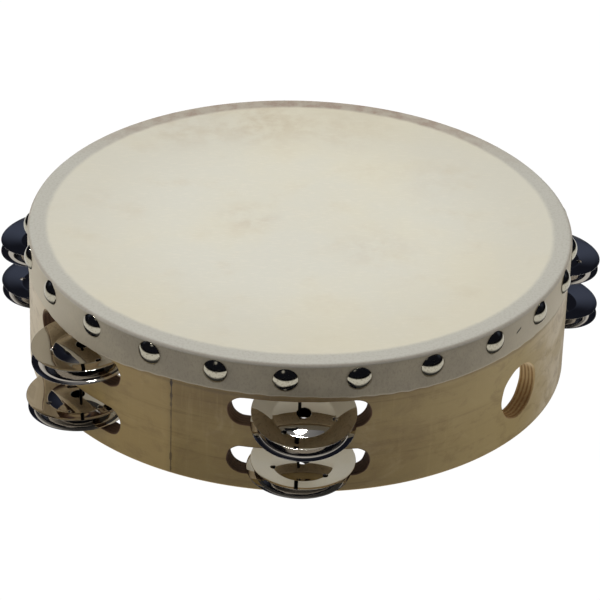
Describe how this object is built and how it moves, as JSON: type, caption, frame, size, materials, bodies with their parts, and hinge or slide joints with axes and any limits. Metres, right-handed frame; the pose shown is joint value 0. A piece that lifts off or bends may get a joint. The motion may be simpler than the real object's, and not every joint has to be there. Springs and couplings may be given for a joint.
{
  "type": "tambourine",
  "caption": "Headed tambourine: a bent plywood hoop with a tacked skin head, two rows of slots with pairs of cymbal-like jingles on pins, and a finger hole.",
  "frame": {"origin": "centre of the hoop's bottom edge, on the hoop's axis", "axes": "+Z along the hoop's axis towards the head; -Y towards jingle station 1; +X towards the finger hole's side"},
  "size_m": [0.2871, 0.2828, 0.0668],
  "materials": {
    "plywood": "clear-lacquered beech plywood",
    "skin": "dried natural skin, matt, cream",
    "tack_nickel": "nickel-plated, polished",
    "pin_steel": "plain steel nail",
    "jingle_nickel": "nickel-plated, polished sheet"
  },
  "bodies": {
    "frame": {"hoop": "plywood", "head_skin": "skin", "tacks": "tack_nickel", "pin_1": "pin_steel", "pin_2": "pin_steel", "pin_3": "pin_steel", "pin_4": "pin_steel", "pin_5": "pin_steel", "pin_6": "pin_steel"},
    "jingle_1_lower_under": {"jingle_1_lower_under": "jingle_nickel"},
    "jingle_1_lower_over": {"jingle_1_lower_over": "jingle_nickel"},
    "jingle_1_upper_under": {"jingle_1_upper_under": "jingle_nickel"},
    "jingle_1_upper_over": {"jingle_1_upper_over": "jingle_nickel"},
    "jingle_2_lower_under": {"jingle_2_lower_under": "jingle_nickel"},
    "jingle_2_lower_over": {"jingle_2_lower_over": "jingle_nickel"},
    "jingle_2_upper_under": {"jingle_2_upper_under": "jingle_nickel"},
    "jingle_2_upper_over": {"jingle_2_upper_over": "jingle_nickel"},
    "jingle_3_lower_under": {"jingle_3_lower_under": "jingle_nickel"},
    "jingle_3_lower_over": {"jingle_3_lower_over": "jingle_nickel"},
    "jingle_3_upper_under": {"jingle_3_upper_under": "jingle_nickel"},
    "jingle_3_upper_over": {"jingle_3_upper_over": "jingle_nickel"},
    "jingle_4_lower_under": {"jingle_4_lower_under": "jingle_nickel"},
    "jingle_4_lower_over": {"jingle_4_lower_over": "jingle_nickel"},
    "jingle_4_upper_under": {"jingle_4_upper_under": "jingle_nickel"},
    "jingle_4_upper_over": {"jingle_4_upper_over": "jingle_nickel"},
    "jingle_5_lower_under": {"jingle_5_lower_under": "jingle_nickel"},
    "jingle_5_lower_over": {"jingle_5_lower_over": "jingle_nickel"},
    "jingle_5_upper_under": {"jingle_5_upper_under": "jingle_nickel"},
    "jingle_5_upper_over": {"jingle_5_upper_over": "jingle_nickel"},
    "jingle_6_lower_under": {"jingle_6_lower_under": "jingle_nickel"},
    "jingle_6_lower_over": {"jingle_6_lower_over": "jingle_nickel"},
    "jingle_6_upper_under": {"jingle_6_upper_under": "jingle_nickel"},
    "jingle_6_upper_over": {"jingle_6_upper_over": "jingle_nickel"}
  },
  "joints": [
    {"name": "jingle_1_lower_under_slide", "type": "slide", "parent": "frame", "child": "jingle_1_lower_under", "axis": [0, 0, 1], "range_m": [-0.0007, 0.0027]},
    {"name": "jingle_1_lower_over_slide", "type": "slide", "parent": "jingle_1_lower_under", "child": "jingle_1_lower_over", "axis": [0, 0, 1], "range_m": [0, 0.0028]},
    {"name": "jingle_1_upper_under_slide", "type": "slide", "parent": "frame", "child": "jingle_1_upper_under", "axis": [0, 0, 1], "range_m": [-0.0003, 0.0022]},
    {"name": "jingle_1_upper_over_slide", "type": "slide", "parent": "jingle_1_upper_under", "child": "jingle_1_upper_over", "axis": [0, 0, 1], "range_m": [0, 0.0023]},
    {"name": "jingle_2_lower_under_slide", "type": "slide", "parent": "frame", "child": "jingle_2_lower_under", "axis": [0, 0, 1], "range_m": [-0.0003, 0.003]},
    {"name": "jingle_2_lower_over_slide", "type": "slide", "parent": "jingle_2_lower_under", "child": "jingle_2_lower_over", "axis": [0, 0, 1], "range_m": [0, 0.0031]},
    {"name": "jingle_2_upper_under_slide", "type": "slide", "parent": "frame", "child": "jingle_2_upper_under", "axis": [0, 0, 1], "range_m": [-0.0024, 0.0015]},
    {"name": "jingle_2_upper_over_slide", "type": "slide", "parent": "jingle_2_upper_under", "child": "jingle_2_upper_over", "axis": [0, 0, 1], "range_m": [0, 0.0016]},
    {"name": "jingle_3_lower_under_slide", "type": "slide", "parent": "frame", "child": "jingle_3_lower_under", "axis": [0, 0, 1], "range_m": [-0.0024, 0.0022]},
    {"name": "jingle_3_lower_over_slide", "type": "slide", "parent": "jingle_3_lower_under", "child": "jingle_3_lower_over", "axis": [0, 0, 1], "range_m": [0, 0.0022]},
    {"name": "jingle_3_upper_under_slide", "type": "slide", "parent": "frame", "child": "jingle_3_upper_under", "axis": [0, 0, 1], "range_m": [-0.0014, 0.0021]},
    {"name": "jingle_3_upper_over_slide", "type": "slide", "parent": "jingle_3_upper_under", "child": "jingle_3_upper_over", "axis": [0, 0, 1], "range_m": [0, 0.0021]},
    {"name": "jingle_4_lower_under_slide", "type": "slide", "parent": "frame", "child": "jingle_4_lower_under", "axis": [0, 0, 1], "range_m": [-0.0003, 0.003]},
    {"name": "jingle_4_lower_over_slide", "type": "slide", "parent": "jingle_4_lower_under", "child": "jingle_4_lower_over", "axis": [0, 0, 1], "range_m": [0, 0.0031]},
    {"name": "jingle_4_upper_under_slide", "type": "slide", "parent": "frame", "child": "jingle_4_upper_under", "axis": [0, 0, 1], "range_m": [-0.0024, 0.0015]},
    {"name": "jingle_4_upper_over_slide", "type": "slide", "parent": "jingle_4_upper_under", "child": "jingle_4_upper_over", "axis": [0, 0, 1], "range_m": [0, 0.0016]},
    {"name": "jingle_5_lower_under_slide", "type": "slide", "parent": "frame", "child": "jingle_5_lower_under", "axis": [0, 0, 1], "range_m": [-0.0024, 0.0022]},
    {"name": "jingle_5_lower_over_slide", "type": "slide", "parent": "jingle_5_lower_under", "child": "jingle_5_lower_over", "axis": [0, 0, 1], "range_m": [0, 0.0022]},
    {"name": "jingle_5_upper_under_slide", "type": "slide", "parent": "frame", "child": "jingle_5_upper_under", "axis": [0, 0, 1], "range_m": [-0.0014, 0.0021]},
    {"name": "jingle_5_upper_over_slide", "type": "slide", "parent": "jingle_5_upper_under", "child": "jingle_5_upper_over", "axis": [0, 0, 1], "range_m": [0, 0.0021]},
    {"name": "jingle_6_lower_under_slide", "type": "slide", "parent": "frame", "child": "jingle_6_lower_under", "axis": [0, 0, 1], "range_m": [-0.0044, 0.0006]},
    {"name": "jingle_6_lower_over_slide", "type": "slide", "parent": "jingle_6_lower_under", "child": "jingle_6_lower_over", "axis": [0, 0, 1], "range_m": [0, 0.0007]},
    {"name": "jingle_6_upper_under_slide", "type": "slide", "parent": "frame", "child": "jingle_6_upper_under", "axis": [0, 0, 1], "range_m": [-0.0016, 0.0022]},
    {"name": "jingle_6_upper_over_slide", "type": "slide", "parent": "jingle_6_upper_under", "child": "jingle_6_upper_over", "axis": [0, 0, 1], "range_m": [0, 0.0022]}
  ]
}
